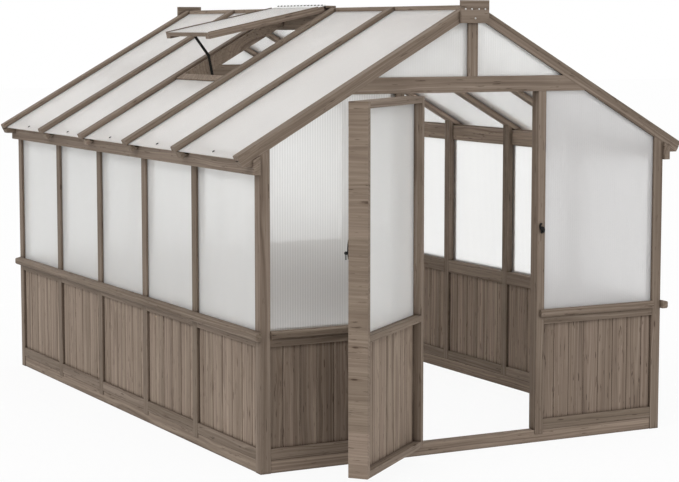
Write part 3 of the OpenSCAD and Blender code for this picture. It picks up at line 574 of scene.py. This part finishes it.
for node in ("corner_posts", "side_posts_left", "side_posts_right", "door_posts", "back_posts",
             "collar_beams", "king_posts", "upper_rails_side", "upper_rails_end",
             "door_rails", "vent_side_rails", "vent_end_rails"):
    wooden(solid(node), node, TIMBER)
wooden(solid("peak_plates"), "peak_plates", TIMBER, directions=[ACROSS, AHEAD])
gable_rafters("gable_rafters")
rafters("rafters_left", SLOPE_L, NORMAL_L)
rafters("rafters_right", SLOPE_R, NORMAL_R)
roof_caps("roof_caps_left", NORMAL_L)
roof_caps("roof_caps_right", NORMAL_R)
for node in ("lower_rails_side", "lower_rails_end"):
    wooden(solid(node), node, TIMBER, WORN_EDGE)
for node in ("base_beams_end", "base_beams_side"):
    wooden(solid(node), node, BEAMS, WORN_EDGE)
for node in ("top_plates", "ridge_beam", "vent_curb"):
    wooden(solid(node), node, BEAMS)
for node in ("sills_side", "sills_front", "sill_back"):
    wooden(solid(node), node, TIMBER, FINE_EDGE)
eave_boards("eave_boards")
door_stiles("door_stiles")
# the side boards get 0.38 of painted highlight and shade across each board
for node, out in (("boards_left", -0.014), ("boards_right", 0.014)):
    board_rows(node, AHEAD, ACROSS, 0.065, 0.1165, out, 0.38)
for node, out in (("boards_front", -0.014), ("boards_back", 0.014)):
    board_rows(node, ACROSS, AHEAD, 0.074, 0.094, out, 0.0, BOARDS_PAINTED_SHADE, 0.0038)
board_rows("door_boards", DOOR_S, NORMAL_D, 0.09, 0.094)


# ---------------------------------------------------------------- sheets

RIDGE = 0.0003      # height of the ridge over a web


def outline(points, a, b):
    """Convex outline of points seen along a x b, as pairs."""
    flat = sorted({(round(p.dot(a), 5), round(p.dot(b), 5)) for p in points})

    def half(seq):
        out = []
        for p in seq:
            while len(out) > 1 and ((out[-1][0] - out[-2][0]) * (p[1] - out[-2][1])
                                    - (out[-1][1] - out[-2][1]) * (p[0] - out[-2][0])) <= 1e-9:
                out.pop()
            out.append(p)
        return out[:-1]
    return half(flat) + half(flat[::-1])


def fluted(bm, points, flute, normal):
    """Adds a sheet that fills the points' outline, with a low ridge over each web."""
    across = normal.cross(flute).normalized()
    n0, n1 = extent(points, normal)
    w0, w1 = extent(points, across)
    webs = max(2, int((w1 - w0) / FLUTE))
    start = (w1 - w0 - (webs - 1) * FLUTE) / 2
    face = [(w0, 0)]
    for i in range(webs):
        at = w0 + start + i * FLUTE
        face += [(at - 0.0009, 0), (at - 0.0004, RIDGE), (at + 0.0004, RIDGE), (at + 0.0009, 0)]
    face.append((w1, 0))
    section = [(w, n1 - RIDGE + h) for w, h in face]
    section += [(w, n0 + RIDGE - h) for w, h in face[::-1]]

    part = bmesh.new()
    ends = [[part.verts.new(across * w + normal * h + flute * f) for w, h in section]
            for f in extent(points, flute)]
    m = len(face)
    for i in range(len(section)):
        j = (i + 1) % len(section)
        part.faces.new((ends[0][i], ends[0][j], ends[1][j], ends[1][i]))
    for row in ends:
        for i in range(m - 1):
            part.faces.new((row[i], row[i + 1], row[2 * m - 2 - i], row[2 * m - 1 - i]))
    bmesh.ops.recalc_face_normals(part, faces=part.faces)
    corners = outline(points, across, flute)
    for p, q in zip(corners, corners[1:] + corners[:1]):
        edge = Vector((q[0] - p[0], q[1] - p[1]))
        if edge.length < 1e-4 or min(abs(edge.x), abs(edge.y)) < 2e-4:
            continue
        out = (across * edge.y - flute * edge.x).normalized()
        rim = sliced(part, across * p[0] + flute * p[1], out)
        bmesh.ops.contextual_create(part, geom=rim)
    grain = part.verts.layers.float_vector.new("grain")
    shift = Vector((w0 * 3.1, -w0 - start, n0 * 5.3))
    for v in part.verts:
        v[grain] = Vector((v.co.dot(flute), v.co.dot(across), v.co.dot(normal))) + shift
    pour(part, bm)


def panes(node, flute, normal, *materials):
    """Panes of a node, from the left: each takes the next material, or else the last."""
    src = solid(node)
    groups = sorted(([v.co.copy() for v in g] for g in islands(src)),
                    key=lambda points: extent(points, ACROSS))
    src.free()
    for i, material in enumerate(materials):
        bm = bmesh.new()
        bm.verts.layers.float_vector.new("grain")
        for points in groups[i:] if i == len(materials) - 1 else groups[i:i + 1]:
            fluted(bm, points, flute, normal)
        place("sheet_%s_%d" % (node, i) if i else "sheet_" + node, bm, node, material)


panes("panes_left", UP, ACROSS, MILKY)
panes("panes_right", UP, ACROSS, CLEAR)
panes("panes_front", UP, AHEAD, RIBBED, FRONT_SHEET_PAINTED_SHADE)
panes("panes_back", UP, AHEAD, CLEAR)
panes("gable_panes", UP, AHEAD, MILKY)
panes("door_pane", UP, NORMAL_D, MILKY)
panes("roof_panes_left", SLOPE_L, NORMAL_L, ROOF)
panes("roof_panes_right", SLOPE_R, NORMAL_R, ROOF_R)
panes("vent_pane", LEAF, NORMAL_V, ROOF)


# ---------------------------------------------------------------- hardware

BAY = 0.7                       # from post to post
HINGE = (-0.06, 2.294497)       # the vent's axis, across and up
KNUCKLE = 0.0045


def hardware(node, material, edge=0.0004, other=None, where=None):
    """A node's own shape in metal, with another one on the faces that where picks."""
    bm = solid(node)
    round_edges(bm, edge, 50)
    grain_marks(bm, node, 2.0)
    me = place("metal_" + node, bm, node, material).data
    me.shade_smooth()
    me.set_sharp_from_angle(angle=math.radians(32))
    if other:
        me.materials.append(other)
        for face in me.polygons:
            face.material_index = int(where(face.center))


def beside_rafters(at):
    return abs((at.y / BAY) % 1 - 0.5) > 0.2


def on_knuckle(at):
    return math.hypot(at.x - HINGE[0], at.z - HINGE[1]) < KNUCKLE


# Read off the photograph in mm, from the middle of the latch
HOOK = ((8.8, 30.5), (1, 29.5), (-4.9, 22.7), (-6, 11.3), (-3.9, 3.5), (1.4, 5), (0.4, 14.4),
        (2.5, 21.7), (8.8, 23.8))
HALF_ROUND = ((-3.9, 8.2), (6.2, 12.3), (16.8, 10.3), (24.7, 1.9), (26, -8.5), (22.6, -17.8),
              (15.7, -21), (12, -17.8), (12, -9.5), (6.7, -3.3), (-3.9, 1.9))


def latch_housing(node):
    """Half-round housing with a hook over it, on the front of the door post, and its pin."""
    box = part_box(node)
    x0, z0 = box[0][0] + 0.006, (box[0][2] + box[1][2]) / 2
    face, deep = box[1][1], 0.009
    bm = bmesh.new()
    for shape in (HOOK, HALF_ROUND):
        prism(bm, [Vector((x0 + x / 1000, 0, z0 + z / 1000)) for x, z in shape],
              (AHEAD * face, AHEAD * (face - deep)))
    reach = face - box[0][1]
    for r, lo, hi in ((0.0025, 0.0, reach - 0.001), (0.0045, reach - 0.0015, reach)):
        bmesh.ops.create_cone(bm, segments=24, radius1=r, radius2=r, depth=hi - lo, cap_ends=True,
                              matrix=Matrix.Translation((x0, face - (lo + hi) / 2, z0))
                              @ Matrix.Rotation(math.pi / 2, 4, "X"))
    bmesh.ops.recalc_face_normals(bm, faces=bm.faces)
    round_edges(bm, 0.0006, 50)
    grain_marks(bm, node, 2.0)
    place("metal_" + node, bm, node, BLACK)


latch_housing("latch_body")
for node in ("stay_foot", "door_hinge_fixed",
             "door_hinge_leaves", "handle_plate", "handle_lever", "stay_bracket",
             "stay_lower_link", "stay_upper_link", "latch_trigger"):
    hardware(node, BLACK)
hardware("pane_bolts", BLACK, other=ZINC, where=beside_rafters)
hardware("vent_hinge_leaf", ZINC, other=BLACK, where=on_knuckle)
hardware("vent_hinge_fixed", ZINC, 0.0002)
for node in ("peak_screws", "door_hinge_pins", "vent_hinge_pin"):
    hardware(node, STEEL, 0.0002)


# ---------------------------------------------------------------- stage and light

AMBIENT = 0.86      # strength of the world for the light on the object
GLOW = 0.92         # how far the floor turns white where it is seen


def stage_floor():
    """Pale floor that shows white in the picture and keeps a soft shadow."""
    bm = bmesh.new()
    bmesh.ops.create_grid(bm, x_segments=8, y_segments=8, size=60)
    me = bpy.data.meshes.new("floor")
    bm.to_mesh(me)
    bm.free()
    ob = bpy.data.objects.new("floor", me)
    bpy.context.scene.collection.objects.link(ob)
    ob.location.z = -0.001
    t = new_material("floor")
    t.shade("Base Color", (0.8, 0.8, 0.8, 1))
    t.shade("Roughness", 0.9)
    glow = t.new("ShaderNodeEmission", 0, Color=(1, 1, 1, 1), Strength=1.0)
    mix = t.new("ShaderNodeMixShader", 0, _0=t.math("MULTIPLY", t.seen(), GLOW),
                _1=t.bsdf.outputs[0], _2=glow)
    t.put(t.nodes["Material Output"].inputs["Surface"], mix)
    me.materials.append(t.owner)


def white_world():
    """White where it is seen, and a little weaker as a light."""
    world = bpy.data.worlds.new("world")
    bpy.context.scene.world = world
    t = Tree(world)
    back = t.nodes["Background"]
    back.inputs["Color"].default_value = (1, 1, 1, 1)
    t.put(back.inputs["Strength"],
          t.math("ADD", AMBIENT, t.math("MULTIPLY", t.seen(), 1 - AMBIENT)))


def sun(name, toward, strength, angle):
    lamp = bpy.data.lights.new(name, "SUN")
    lamp.energy = strength
    lamp.angle = math.radians(angle)
    ob = bpy.data.objects.new(name, lamp)
    bpy.context.scene.collection.objects.link(ob)
    ob.rotation_euler = Vector(toward).to_track_quat("-Z", "Y").to_euler()


stage_floor()
white_world()
sun("key", (0.95, 0.4, -0.9), 0.75, 25)
sun("fill", (-0.3, 0.9, -0.35), 0.4, 60)
bpy.context.scene.view_settings.view_transform = "Standard"
